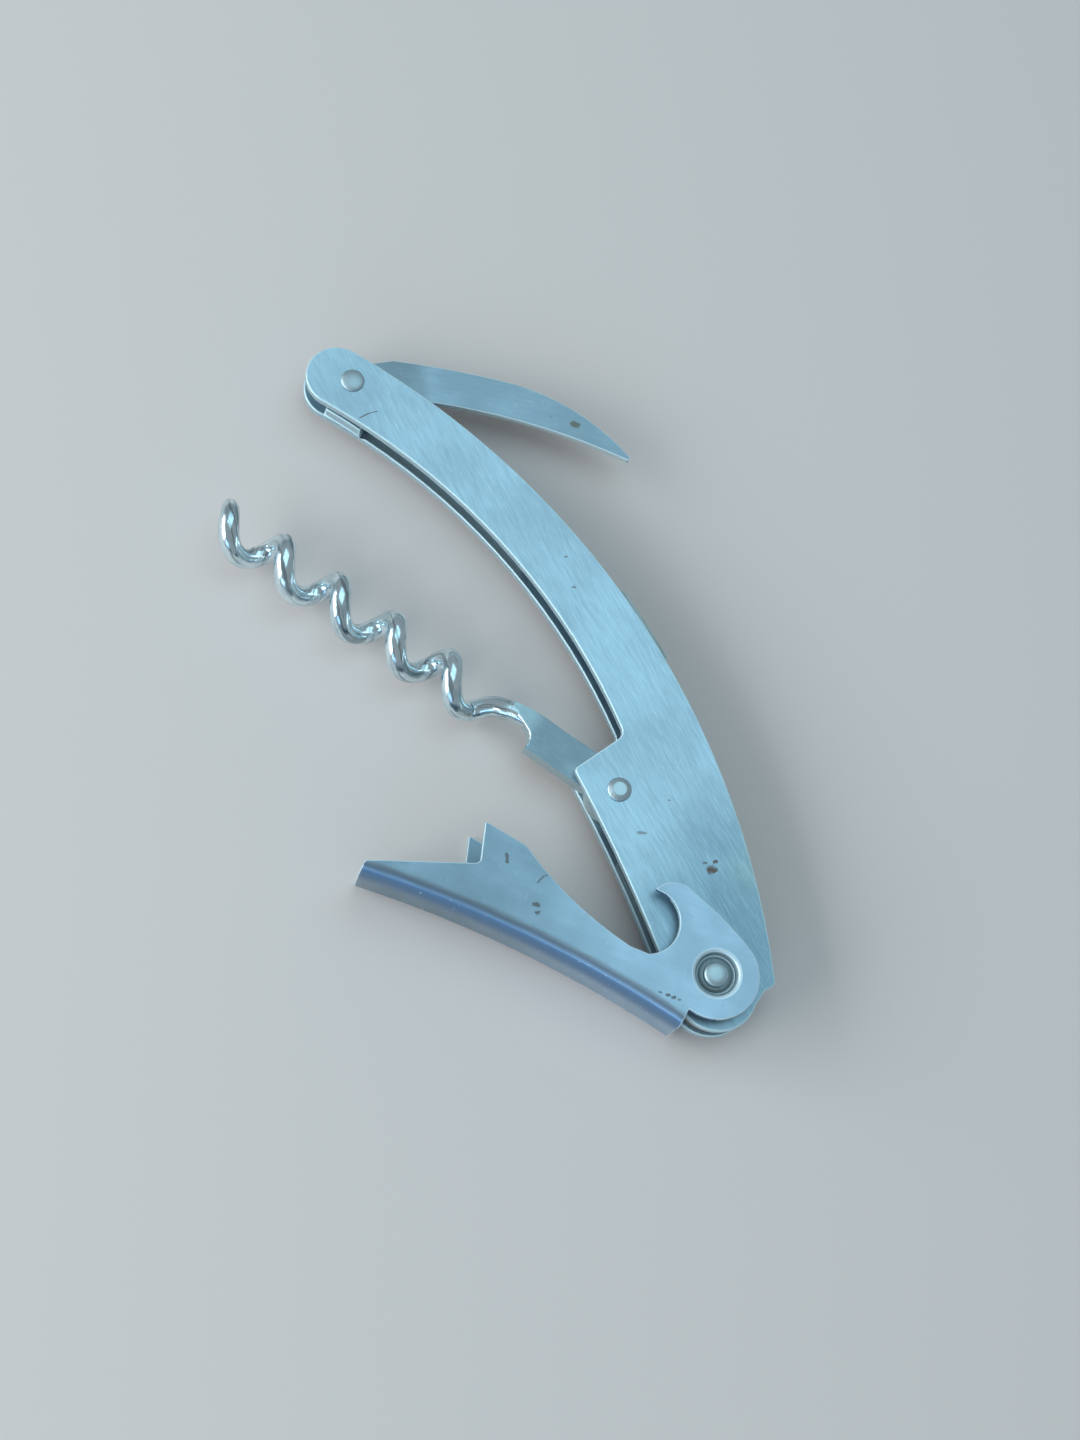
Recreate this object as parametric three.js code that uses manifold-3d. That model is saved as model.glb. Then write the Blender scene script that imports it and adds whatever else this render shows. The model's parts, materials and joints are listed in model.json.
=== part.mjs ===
// A waiter's corkscrew, all steel: two riveted side plates with a knife and a worm between them and a hinged
// lever around them, lying on its side half open. Millimetres, +Z up, resting on Z = 0, origin at the middle.
// Inside the model, Z = 0 is the mid-plane of the handle and X runs from the knife rivet to the worm rivet;
// the last lines of the file move everything to the part's own frame.
import * as THREE from "three";
import { mergeVertices } from "three/addons/utils/BufferGeometryUtils.js";
import Module from "manifold-3d";

// Pivots, in the handle's plane, and how far each tool is open, in degrees from +X.
const KNIFE_PIVOT = [0, 0];
const WORM_PIVOT = [72.1, 0];
const LEVER_PIVOT = [101.2, -3.5];
const KNIFE_ANGLE = 45.6;
const WORM_ANGLE = 203.5;
const LEVER_ANGLE = 213.1;

// Handle: two plates with a slot between them for the tools.
const PLATE_THICK = 1.4;
const SLOT_WIDTH = 2.9;
const SLOT_HALF = SLOT_WIDTH / 2;
const PLATE_OUTER = SLOT_HALF + PLATE_THICK;
const TAB_TOP = 0.4;

// Rivets: shank and head, with the play that each turning piece has on its shank.
const RIVET_RADIUS = 1.2;
const RIVET_HEAD_RADIUS = 1.75;
const RIVET_HEAD_HEIGHT = 0.55;
const HOLE_PLAY = 0.1;
const SEAT_GAP = 0.05;

// Springs and knife, which lie in the slot.
const BACK_SPRING_HALF = 1.35;
const KNIFE_SPRING_HALF = 1.15;
const BLADE_HALF = 0.5;
const SPACER_RADIUS = 3.1;

// Worm: a wire helix on a flat tang.
const WIRE_RADIUS = 1.5;
const HELIX_RADIUS = 2.6;
const HELIX_PITCH = 9.65;
const HELIX_PHASE = 2.19;
const HELIX_LEAN = 0.38;
const HELIX_START = 24.0;
const HELIX_END = 69.0;
const TANG_HALF = 1.3;
const TANG_HEEL_RADIUS = 4.5;

// Lever: one sheet folded into a channel, with a dimple in each cheek round its rivet.
const LEVER_WIDTH = 10.6;
const LEVER_SHEET = 1.0;
const FOLD_RADIUS = 2.2;
const SPINE_CURVE_RADIUS = 175;
const SPINE_MIDDLE = [26.5, 7.1];
const LOWER_TOOTH_SHIFT = 1.0;
const CHANNEL_DEPTH = 40;
const CHEEK_OUTER = LEVER_WIDTH / 2;
const CHEEK_INNER = CHEEK_OUTER - LEVER_SHEET;
const DIMPLE_FACE = PLATE_OUTER + 0.15;
const DIMPLE_FLOOR = DIMPLE_FACE + LEVER_SHEET;
const WASHER_RADIUS = 2.45;
const WASHER_THICK = 0.3;
const LEVER_HEAD_UNDER = DIMPLE_FLOOR + 2 * SEAT_GAP + WASHER_THICK;
const LEVER_HEAD_HEIGHT = 0.7;

// How finely curves are stepped.
const CHORD_ERROR = 0.02;
const ROUND_SIDES = 32;
const WIRE_SIDES = 12;
const WIRE_SECTIONS = 20;
const SPINE_SIDES = 280;
const FILLET_STEPS = 5;

const wasm = await Module();
wasm.setup();

// ---- joining and cutting ----

function solid(geometry) {
  const bare = geometry.clone();
  bare.deleteAttribute("normal");
  bare.deleteAttribute("uv");
  const merged = mergeVertices(bare, 1e-4);
  return new wasm.Manifold(
    new wasm.Mesh({
      numProp: 3,
      vertProperties: merged.attributes.position.array,
      triVerts: new Uint32Array(merged.index.array),
    }),
  );
}

function surface(manifold) {
  const { vertProperties, triVerts } = manifold.getMesh();
  const geometry = new THREE.BufferGeometry();
  geometry.setAttribute("position", new THREE.BufferAttribute(vertProperties, 3));
  geometry.setIndex(new THREE.BufferAttribute(triVerts, 1));
  return geometry;
}

// ---- outlines ----

// An edge from one corner to the next: a straight line, or an arc that bows to the right of its run by `bow`.
function edgeBetween([ax, ay, bow = 0], [bx, by]) {
  const start = new THREE.Vector2(ax, ay);
  const end = new THREE.Vector2(bx, by);
  if (bow === 0) return new THREE.LineCurve(start, end);
  const half = start.distanceTo(end) / 2;
  const radius = (half * half + bow * bow) / (2 * bow);
  const right = new THREE.Vector2(by - ay, ax - bx).normalize();
  const centre = start.clone().add(end).multiplyScalar(0.5).addScaledVector(right, bow - radius);
  const from = start.clone().sub(centre).angle();
  const to = end.clone().sub(centre).angle();
  return new THREE.ArcCurve(centre.x, centre.y, Math.abs(radius), from, to, bow < 0);
}

// How far along its two edges the rounding of a corner reaches.
function filletReach(before, after, radius) {
  if (radius === 0) return 0;
  const turn = before.getTangentAt(1).angleTo(after.getTangentAt(0));
  return radius * Math.tan(turn / 2);
}

function edgeSteps(edge) {
  if (!edge.isEllipseCurve) return 1;
  const radius = edge.xRadius;
  return Math.max(3, Math.ceil(edge.getLength() / (2 * Math.sqrt(2 * radius * CHORD_ERROR))));
}

// A closed outline from its corners, counter-clockwise, each [x, y, bow of the next edge, rounding radius].
function outline(corners) {
  const count = corners.length;
  const edges = corners.map((corner, i) => edgeBetween(corner, corners[(i + 1) % count]));
  const edgeBefore = (i) => edges[(i + count - 1) % count];
  const reach = corners.map((corner, i) => filletReach(edgeBefore(i), edges[i], corner[3] ?? 0));
  const points = [];
  edges.forEach((edge, i) => {
    const length = edge.getLength();
    const from = reach[i] / length;
    const to = 1 - reach[(i + 1) % count] / length;
    if (reach[i] > 0) {
      const entry = edgeBefore(i).getPointAt(1 - reach[i] / edgeBefore(i).getLength());
      const corner = new THREE.Vector2(corners[i][0], corners[i][1]);
      const rounding = new THREE.QuadraticBezierCurve(entry, corner, edge.getPointAt(from));
      points.push(...rounding.getPoints(FILLET_STEPS).slice(0, -1));
    }
    const steps = edgeSteps(edge);
    for (let k = 0; k < steps; k++) points.push(edge.getPointAt(from + ((to - from) * k) / steps));
  });
  return new THREE.Shape(points);
}

// A flat piece of the outline between two heights.
function slab(corners, bottom, top) {
  const geometry = new THREE.ExtrudeGeometry(outline(corners), { depth: top - bottom, bevelEnabled: false });
  return solid(geometry.translate(0, 0, bottom));
}

// A round piece turned about the Z axis through [x, y], from its [radius, height] profile.
function turned(profile, [x, y] = [0, 0], sides = ROUND_SIDES) {
  const points = profile.map(([radius, height]) => new THREE.Vector2(radius, height));
  return solid(new THREE.LatheGeometry(points, sides).rotateX(Math.PI / 2).translate(x, y, 0));
}

function disc(radius, bottom, top, centre) {
  return turned([[0, bottom], [radius, bottom], [radius, top], [0, top]], centre);
}

function ring(inner, outer, bottom, top, centre) {
  return disc(outer, bottom, top, centre).subtract(disc(inner, bottom - 1, top + 1, centre));
}

// What a rivet's hole takes out, with the play that the piece has on its rivet.
function rivetHole(centre) {
  return disc(RIVET_RADIUS + HOLE_PLAY, -LEVER_WIDTH, LEVER_WIDTH, centre);
}

// ---- handle ----

const SIDE_PLATE = [
  [1.0, -5.35, -5.76, 1.5],
  [65.7, 5.2, 0, 1.6],
  [66.25, -3.95, -0.7, 0.8],
  [101.6, -9.7, 3.88],
  [107.6, -0.4, 0, 0.5],
  [106.7, 1.7, 0, 0.8],
  [106.75, 3.6, 13.9, 1.0],
  [-3.9, 2.7, 5.0],
];

function sidePlate(bottom, top) {
  let plate = slab(SIDE_PLATE, bottom, top);
  for (const pivot of [KNIFE_PIVOT, WORM_PIVOT, LEVER_PIVOT]) {
    plate = plate.subtract(rivetHole(pivot));
  }
  return plate;
}

// The lower plate has a tab folded up from its hollow edge beside the knife's tang.
function lowerPlate() {
  const tab = [
    [1.1, -5.1, -0.06],
    [6.5, -2.42],
    [6.05, -1.6, 0.06],
    [0.65, -4.28],
  ];
  return sidePlate(-PLATE_OUTER, -SLOT_HALF).add(slab(tab, -SLOT_HALF - 0.5, TAB_TOP));
}

// One stamped plate: a body round the lever rivet, a nose that bears on the worm's tang, and a leaf that runs
// on under the back of the handle to a free tip that stands a little proud of it.
function backSpring() {
  const corners = [
    [47.0, 14.2, -0.55, 0.6],
    [66.8, 11.8, 0, 2.0],
    [69.4, 5.0, 0, 0.8],
    [75.4, 5.0, 0, 0.8],
    [79.2, 3.4, 0, 1.5],
    [80.2, -4.3, 0, 0.9],
    [80.8, -5.05, -0.45, 0.4],
    [101.7, -9.3, 3.55],
    [107.1, -0.7, 0, 0.5],
    [106.2, 1.8, 0, 0.6],
    [106.2, 3.3, 2.43, 0.8],
    [60.6, 16.5, 0, 0.6],
    [58.7, 17.86, 0.16, 0.6],
    [46.4, 17.92, 0, 1.2],
  ];
  const plate = slab(corners, -BACK_SPRING_HALF, BACK_SPRING_HALF);
  return plate.subtract(rivetHole(LEVER_PIVOT));
}

// A flat strip on edge along the hollow side of the slot, whose end bears on the knife's tang.
function knifeSpring() {
  const corners = [
    [6.6, -0.78, -1.2, 0.2],
    [36.5, 7.5, 0, 0.3],
    [36.4, 8.3, 1.2, 0.3],
    [6.3, -0.03, 0, 0.2],
  ];
  return slab(corners, -KNIFE_SPRING_HALF, KNIFE_SPRING_HALF);
}

function knifeSpacer(side) {
  const from = BLADE_HALF + SEAT_GAP;
  const to = SLOT_HALF - SEAT_GAP;
  const [bottom, top] = side > 0 ? [from, to] : [-to, -from];
  return ring(RIVET_RADIUS + HOLE_PLAY, SPACER_RADIUS, bottom, top, KNIFE_PIVOT);
}

// A rivet with a low domed head on each end; `under` is the height of the underside of its upper head.
function rivet(pivot, under, headHeight) {
  const flattening = 0.9;
  const dome = [0.35, 0.7, 0.9, 1.0].map((share) => [
    RIVET_HEAD_RADIUS * Math.sqrt(1 - (share * flattening) ** 2),
    under + headHeight * share,
  ]);
  const upperHalf = [[RIVET_RADIUS, under], [RIVET_HEAD_RADIUS, under], ...dome, [0, under + headHeight]];
  const lowerHalf = upperHalf.map(([radius, height]) => [radius, -height]).reverse();
  return turned([...lowerHalf, ...upperHalf], pivot);
}

function leverWasher(side) {
  const from = DIMPLE_FLOOR + SEAT_GAP;
  const to = from + WASHER_THICK;
  const [bottom, top] = side > 0 ? [from, to] : [-to, -from];
  return ring(RIVET_RADIUS + HOLE_PLAY, WASHER_RADIUS, bottom, top, LEVER_PIVOT);
}

// ---- knife: X runs from its pivot to its point, +Y is its back ----

function knifeBlade() {
  const corners = [
    [-0.5, -3.26, 0],
    [3.4, -2.8, 0, 1.5],
    [11.5, 0.95, -1.3, 3.0],
    [42.65, 0.0, 0, 0.2],
    [42.8, 0.6, 1.55, 0.2],
    [24.0, 7.6, 0.35],
    [5.0, 6.2, 0, 1.5],
    [1.8, 4.7, 0, 2.0],
    [-1.4, 2.99, 2.35],
  ];
  return slab(corners, -BLADE_HALF, BLADE_HALF).subtract(rivetHole());
}

// ---- worm: X runs from its pivot along the axis of the helix ----

// The coils lean a little towards the point on the side that faces up.
function helixPoint(x) {
  const angle = (2 * Math.PI * x) / HELIX_PITCH + HELIX_PHASE;
  const lean = HELIX_LEAN * (1 + Math.sin(angle));
  return new THREE.Vector3(x + lean, HELIX_RADIUS * Math.cos(angle), HELIX_RADIUS * Math.sin(angle));
}

function wormWire() {
  const step = HELIX_PITCH / WIRE_SECTIONS;
  const steps = Math.floor((HELIX_END - HELIX_START) / step);
  const shank = [
    new THREE.Vector3(11.0, -1.35, 0),
    new THREE.Vector3(14.5, -1.4, 0),
    new THREE.Vector3(18.4, -1.65, -0.2),
    new THREE.Vector3(21.6, -0.9, -1.3),
  ];
  const coil = Array.from({ length: steps + 1 }, (_, i) => helixPoint(HELIX_START + i * step));
  const path = new THREE.CatmullRomCurve3([...shank, ...coil], false, "centripetal");
  const section = new THREE.Shape().absarc(0, 0, WIRE_RADIUS, 0, 2 * Math.PI);
  const shankSteps = 16;
  const sweep = { steps: steps + shankSteps, extrudePath: path, curveSegments: WIRE_SIDES / 2 };
  const wire = new THREE.ExtrudeGeometry(section, sweep);
  return solid(wire).subtract(pointGrind(path));
}

// What is ground off the end of the wire to leave a point, on a slant towards the axis of the helix.
function pointGrind(path) {
  const size = 12;
  const depth = 0.3;
  const axisShare = 1.7;
  const end = path.getPointAt(1);
  const facing = path.getTangentAt(1).add(new THREE.Vector3(axisShare, 0, 0)).normalize();
  const block = new THREE.BoxGeometry(size, size, size);
  block.applyQuaternion(new THREE.Quaternion().setFromUnitVectors(new THREE.Vector3(0, 0, 1), facing));
  const middle = end.clone().addScaledVector(facing, size / 2 - depth);
  return solid(block.translate(middle.x, middle.y, middle.z));
}

function worm() {
  const bar = [
    [0, -3.2],
    [13.2, -3.1, 0, 1.0],
    [14.5, -2.4],
    [14.5, 2.25, 0, 0.5],
    [0, 2.4],
  ];
  const tang = slab(bar, -TANG_HALF, TANG_HALF).add(disc(TANG_HEEL_RADIUS, -TANG_HALF, TANG_HALF));
  return tang.add(wormWire()).subtract(rivetHole());
}

// ---- lever: X runs from its pivot to its tip, +Y is its spine ----

// What the fold leaves: everything inside a channel of the given half width, whose spine follows a wide arc.
function channelBlank(setBack, halfWidth, foldRadius) {
  const near = SPINE_CURVE_RADIUS + setBack;
  const far = SPINE_CURVE_RADIUS + CHANNEL_DEPTH;
  const fold = [0, 0.25, 0.5, 0.75, 1].map((share) => {
    const angle = (share * Math.PI) / 2;
    return [near + foldRadius * (1 - Math.sin(angle)), halfWidth - foldRadius * (1 - Math.cos(angle))];
  });
  const lowerFold = fold.map(([radius, height]) => [radius, -height]).reverse();
  const profile = [[far, -halfWidth], [far, halfWidth], ...fold, ...lowerFold, [far, -halfWidth]];
  const centre = [SPINE_MIDDLE[0], SPINE_MIDDLE[1] + SPINE_CURVE_RADIUS];
  return turned(profile, centre, SPINE_SIDES);
}

// Each cheek is pressed in round the rivet hole, so that the dimples run on the side plates.
function dimple(side) {
  const inSheet = CHEEK_INNER + 0.3;
  const wall = DIMPLE_FLOOR + 0.3;
  const clear = CHEEK_OUTER + 0.05;
  const boss = [[0, DIMPLE_FACE], [3.2, DIMPLE_FACE], [3.9, inSheet], [0, inSheet]];
  const recess = [[0, DIMPLE_FLOOR], [2.6, DIMPLE_FLOOR], [2.75, wall], [3.25, clear], [0, clear]];
  const mirrored = (profile) => profile.map(([radius, height]) => [radius, -height]).reverse();
  const facing = (profile) => turned(side > 0 ? profile : mirrored(profile));
  return { boss: facing(boss), recess: facing(recess) };
}

function cheek(toothShift) {
  return [
    [-3.4, -4.95, 0.35],
    [7.0, -9.1, 1.3],
    [12.4, -7.15, 0, 0.2],
    [10.7, -7.1, -3.1, 0.4],
    [9.7, 1.65, 0, 1.5],
    [12.5, 1.8, -0.95, 2.0],
    [31.2, -4.75, 0, 1.5],
    [37.7 + toothShift, -5.35, 0, 0.3],
    [35.9 + toothShift, 0.4, 0, 0.9],
    [50.2, 6.95, 0, 0.4],
    [50.4, 12.0],
    [1.8, 12.0],
    [1.7, 6.2, 5.2, 0.3],
  ];
}

function lever() {
  const cheeks = slab(cheek(0), 0, CHEEK_OUTER).add(slab(cheek(LOWER_TOOTH_SHIFT), -CHEEK_OUTER, 0));
  const outside = cheeks.intersect(channelBlank(0, CHEEK_OUTER, FOLD_RADIUS));
  const inside = channelBlank(LEVER_SHEET, CHEEK_INNER, FOLD_RADIUS - LEVER_SHEET);
  let body = outside.subtract(inside);
  for (const side of [1, -1]) {
    const { boss, recess } = dimple(side);
    body = body.add(boss).subtract(recess);
  }
  return body.subtract(rivetHole());
}

// ---- materials ----

const steel = (color, roughness) => new THREE.MeshStandardMaterial({ color, metalness: 1, roughness });
const BRUSHED = steel(0xb4c2c8, 0.42);
const LEVER_STEEL = steel(0xa9b4bd, 0.36);
const BLADE_STEEL = steel(0x9aa6ad, 0.38);
const CHROMED = steel(0xd8dcde, 0.12);
const RIVET_STEEL = steel(0xc4cacd, 0.3);
const SPRING_STEEL = steel(0x8c9498, 0.35);

// ---- assembly ----

function piece(name, manifold, material) {
  const mesh = new THREE.Mesh(surface(manifold), material);
  mesh.name = name;
  return mesh;
}

// A group for a tool, placed on its pivot and opened to its angle.
function swung(pivot, angle, ...meshes) {
  const tool = new THREE.Group();
  tool.position.set(pivot[0], pivot[1], 0);
  tool.rotation.z = THREE.MathUtils.degToRad(angle);
  return tool.add(...meshes);
}

const corkscrew = new THREE.Group();
corkscrew.add(
  piece("upper_side_plate", sidePlate(SLOT_HALF, PLATE_OUTER), BRUSHED),
  piece("lower_side_plate", lowerPlate(), BRUSHED),
  piece("back_spring", backSpring(), SPRING_STEEL),
  piece("knife_spring", knifeSpring(), SPRING_STEEL),
  piece("knife_spacer_upper", knifeSpacer(1), SPRING_STEEL),
  piece("knife_spacer_lower", knifeSpacer(-1), SPRING_STEEL),
  piece("knife_rivet", rivet(KNIFE_PIVOT, PLATE_OUTER + SEAT_GAP, RIVET_HEAD_HEIGHT), RIVET_STEEL),
  piece("worm_rivet", rivet(WORM_PIVOT, PLATE_OUTER + SEAT_GAP, RIVET_HEAD_HEIGHT), RIVET_STEEL),
  piece("lever_rivet", rivet(LEVER_PIVOT, LEVER_HEAD_UNDER, LEVER_HEAD_HEIGHT), RIVET_STEEL),
  piece("lever_washer_upper", leverWasher(1), SPRING_STEEL),
  piece("lever_washer_lower", leverWasher(-1), SPRING_STEEL),
  swung(KNIFE_PIVOT, KNIFE_ANGLE, piece("knife_blade", knifeBlade(), BLADE_STEEL)),
  swung(WORM_PIVOT, WORM_ANGLE, piece("worm", worm(), CHROMED)),
  swung(LEVER_PIVOT, LEVER_ANGLE, piece("lever", lever(), LEVER_STEEL)),
);

// The part's own frame: the origin is under the middle of the whole object, on the surface that it lies on.
const box = new THREE.Box3().setFromObject(corkscrew, true);
const middle = box.getCenter(new THREE.Vector3());
corkscrew.position.set(-middle.x, -middle.y, -box.min.z);

export default corkscrew;
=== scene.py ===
import json
from math import cos, pi, radians, sin

import bmesh
import bpy
from mathutils import Matrix, Vector, kdtree


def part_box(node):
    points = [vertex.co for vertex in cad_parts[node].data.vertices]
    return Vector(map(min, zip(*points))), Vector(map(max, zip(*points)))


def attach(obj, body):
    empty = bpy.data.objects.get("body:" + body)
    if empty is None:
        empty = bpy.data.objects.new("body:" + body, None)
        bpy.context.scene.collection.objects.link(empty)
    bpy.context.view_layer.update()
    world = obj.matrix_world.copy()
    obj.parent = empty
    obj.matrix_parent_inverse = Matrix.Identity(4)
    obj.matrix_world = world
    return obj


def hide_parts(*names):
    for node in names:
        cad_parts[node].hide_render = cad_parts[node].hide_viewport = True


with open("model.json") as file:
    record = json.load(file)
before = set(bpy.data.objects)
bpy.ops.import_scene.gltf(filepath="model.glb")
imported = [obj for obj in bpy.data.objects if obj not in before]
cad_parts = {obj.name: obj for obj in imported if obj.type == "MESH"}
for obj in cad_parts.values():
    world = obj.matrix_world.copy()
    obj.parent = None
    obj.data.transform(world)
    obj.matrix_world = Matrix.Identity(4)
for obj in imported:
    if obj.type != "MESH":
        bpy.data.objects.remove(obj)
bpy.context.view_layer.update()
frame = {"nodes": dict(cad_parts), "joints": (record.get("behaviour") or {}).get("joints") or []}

# ---- Table and light ----
# The tool lies on its side on a plain pale sheet in a dim cool room, under one big soft box overhead, a wide
# one low at its side and a small blue one lower still, so that flat steel looks even and round steel shows
# light and dark.
sheet_mesh = bmesh.new()
bmesh.ops.create_grid(sheet_mesh, x_segments=8, y_segments=8, size=1.5)
sheet = bpy.data.objects.new("sheet", bpy.data.meshes.new("sheet"))
sheet_mesh.to_mesh(sheet.data)
sheet_mesh.free()
bpy.context.collection.objects.link(sheet)
pale = bpy.data.materials.new("pale_sheet")
pale.use_nodes = True
pale_inputs = pale.node_tree.nodes["Principled BSDF"].inputs
pale_inputs["Base Color"].default_value = (0.85, 0.75, 0.71, 1)
pale_inputs["Roughness"].default_value = 0.7
sheet.data.materials.append(pale)


def soft_box(name, place, aim, width, height, watts, colour):
    """A rectangular soft light at a place, turned to its aim."""
    lamp = bpy.data.lights.new(name, "AREA")
    lamp.shape = "RECTANGLE"
    lamp.size = width
    lamp.size_y = height
    lamp.energy = watts
    lamp.color = colour
    box = bpy.data.objects.new(name, lamp)
    box.location = place
    box.rotation_euler = (Vector(aim) - Vector(place)).to_track_quat("-Z", "Y").to_euler()
    bpy.context.collection.objects.link(box)


soft_box("overhead_box", (-0.12, 0.24, 0.80), (0, 0, 0), 0.75, 0.75, 1.75, (0.50, 0.85, 1.0))
soft_box("side_box", (-0.33, -0.62, 0.33), (0, 0, 0), 0.95, 0.40, 4.8, (0.85, 0.96, 1.0))
soft_box("low_blue_box", (0.36, -0.55, 0.24), (0.02, -0.01, 0), 0.40, 0.20, 0.50, (0.38, 0.68, 1.0))

room = bpy.data.worlds.new("cool_room")
room.use_nodes = True
room.node_tree.nodes["Background"].inputs["Color"].default_value = (0.70, 0.80, 0.86, 1)
room.node_tree.nodes["Background"].inputs["Strength"].default_value = 0.36
bpy.context.scene.world = room
bpy.context.scene.view_settings.view_transform = "Standard"

lens = bpy.data.cameras.new("camera")
lens.lens = 54.15
lens.clip_start = 0.01
camera = bpy.data.objects.new("camera", lens)
camera.location = (0.05869, -0.09484, 0.2953)
camera.rotation_euler = (radians(18.053), radians(-9.995), radians(56.976))
bpy.context.collection.objects.link(camera)
bpy.context.scene.camera = camera

# ---- Side plates ----
# Two curved plates of 1.4 mm stainless sheet, stamped to one outline and held apart by what is riveted
# between them. Their faces are brushed along the handle, and their sheared edges are worn a little bright and painted
# lighter still as highlight lines.
mm = 0.001
plate_edge = 0.22 * mm
brush_lean = -4


def from_solid(node):
    """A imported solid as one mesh: its corners joined and its flat faces whole."""
    bm = bmesh.new()
    bm.from_mesh(frame["nodes"][node].data)
    bmesh.ops.remove_doubles(bm, verts=bm.verts, dist=0.002 * mm)
    bmesh.ops.dissolve_limit(bm, angle_limit=radians(0.4), verts=bm.verts, edges=bm.edges)
    return bm


def soften(bm, width, segments=3, chosen=lambda edge: True, sharper_than=32, held_back=False):
    """Rounds the sharp edges, held back or not where short edges meet, and gives back the faces it made."""
    sharp = [
        edge
        for edge in bm.edges
        if edge.is_manifold and edge.calc_face_angle() > radians(sharper_than) and chosen(edge)
    ]
    rounded = bmesh.ops.bevel(
        bm, geom=sharp, offset=width, offset_type="OFFSET", affect="EDGES",
        segments=segments, profile=0.5, clamp_overlap=held_back, material=-1,
    )
    return rounded["faces"]


def mark_edges(bm, rounded, sheet=3 * mm, skin=Vector((0, 0, 0))):
    """Keeps on the mesh which faces are rounded edges (red), which are sheared walls, no taller than the sheet,
    lying along a rounded edge and not facing the skin's way (green), and how far the others turn away from
    lying flat (blue)."""
    layer = bm.loops.layers.float_color.new("finish")
    bm.normal_update()
    edge_faces = set(rounded)
    for face in bm.faces:
        heights = [vert.co.z for vert in face.verts]
        beside = sum(edge.calc_length() for edge in face.edges if edge_faces.intersection(edge.link_faces))
        along = beside > 0.15 * sum(edge.calc_length() for edge in face.edges) or not rounded
        steep = abs(face.normal.z) < 0.5 and max(heights) - min(heights) < sheet
        worn_and_highlit = 1.0 if face in edge_faces else 0.0
        wall = 1.0 if not worn_and_highlit and steep and along and face.normal.dot(skin) < 0.9 else 0.0
        turned_away = 0.0 if worn_and_highlit or wall else 1.0 - abs(face.normal.z)
        for loop in face.loops:
            loop[layer] = (worn_and_highlit, wall, turned_away, 1)


def finish_piece(bm, name, material, body, slot, *nodes):
    """Makes the piece, shades it evenly, hangs it on the body it rides on, and hides the parts it stands for."""
    for face in bm.faces:
        face.smooth = True
    piece = bpy.data.objects.new(name, bpy.data.meshes.new(name))
    bm.to_mesh(piece.data)
    bm.free()
    piece.data.materials.append(material)
    bpy.context.collection.objects.link(piece)
    even = piece.modifiers.new("even_shading", "WEIGHTED_NORMAL")
    even.keep_sharp = True
    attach(piece, body)
    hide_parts(*nodes)
    return piece


def add(tree, kind, inputs=None, **settings):
    """A shader node with its settings, its input values, and its links from other nodes' outputs."""
    made = tree.nodes.new(kind)
    for key, value in settings.items():
        setattr(made, key, value)
    for key, value in (inputs or {}).items():
        if isinstance(value, bpy.types.NodeSocket):
            tree.links.new(value, made.inputs[key])
        else:
            made.inputs[key].default_value = value
    return made


def effect(name, inputs, outputs):
    """An empty node group with named inputs (name, kind, default) and outputs (name, kind)."""
    group = bpy.data.node_groups.new(name, "ShaderNodeTree")
    for label, kind, default in inputs:
        socket = group.interface.new_socket(name=label, in_out="INPUT", socket_type=kind)
        if default is not None:
            socket.default_value = default
    for label, kind in outputs:
        group.interface.new_socket(name=label, in_out="OUTPUT", socket_type=kind)
    return group, group.nodes.new("NodeGroupInput").outputs, group.nodes.new("NodeGroupOutput").inputs


def number(tree, operation, first, second, clamp=False):
    """One sum of two numbers."""
    return add(tree, "ShaderNodeMath", {0: first, 1: second}, operation=operation, use_clamp=clamp).outputs[0]


def vector(tree, operation, first, second, given_back="Vector"):
    """One sum of two vectors."""
    return add(tree, "ShaderNodeVectorMath", {0: first, 1: second}, operation=operation).outputs[given_back]


def noise(tree, place, scale, detail):
    """Noise of a scale per metre, or per unit of the place given."""
    return add(tree, "ShaderNodeTexNoise", {"Vector": place, "Scale": scale, "Detail": detail}).outputs["Fac"]


def ramp(tree, value, low, high, to_low=0.0, to_high=1.0):
    """The value's stretch from low to high, as a smooth step from one output value to the other."""
    names = {"Value": value, "From Min": low, "From Max": high, "To Min": to_low, "To Max": to_high}
    return add(tree, "ShaderNodeMapRange", names, interpolation_type="SMOOTHSTEP").outputs["Result"]


def blend_colour(tree, share, first, second, how="MIX"):
    """The first colour with a share of the second one mixed in, or multiplied in."""
    mix = add(tree, "ShaderNodeMix", data_type="RGBA", blend_type=how)
    share_socket, first_socket, second_socket, colour_output = 0, 6, 7, 2
    for index, value in ((share_socket, share), (first_socket, first), (second_socket, second)):
        if isinstance(value, bpy.types.NodeSocket):
            tree.links.new(value, mix.inputs[index])
        else:
            mix.inputs[index].default_value = value
    return mix.outputs[colour_output]


# Brushing: streaks a few millimetres long and a tenth of a millimetre wide, with broader bands among them and
# a cloudy change of tone.
brushing, asked, given = effect(
    "brushing",
    [("Vector", "NodeSocketVector", None), ("Length", "NodeSocketFloat", 6 * mm),
     ("Width", "NodeSocketFloat", 0.12 * mm)],
    [("Fine", "NodeSocketFloat"), ("Broad", "NodeSocketFloat"), ("Cloud", "NodeSocketFloat")],
)
for label, widen, lengthen, detail in (("Fine", 1, 1, 3), ("Broad", 5, 2.5, 2)):
    size = add(brushing, "ShaderNodeCombineXYZ", {
        "X": number(brushing, "MULTIPLY", asked["Length"], lengthen),
        "Y": number(brushing, "MULTIPLY", asked["Width"], widen),
        "Z": number(brushing, "MULTIPLY", asked["Width"], widen),
    })
    squeezed = vector(brushing, "DIVIDE", asked["Vector"], size.outputs[0])
    brushing.links.new(noise(brushing, squeezed, 1.0, detail), given[label])
brushing.links.new(noise(brushing, asked["Vector"], 95.0, 4.0), given["Cloud"])

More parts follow.
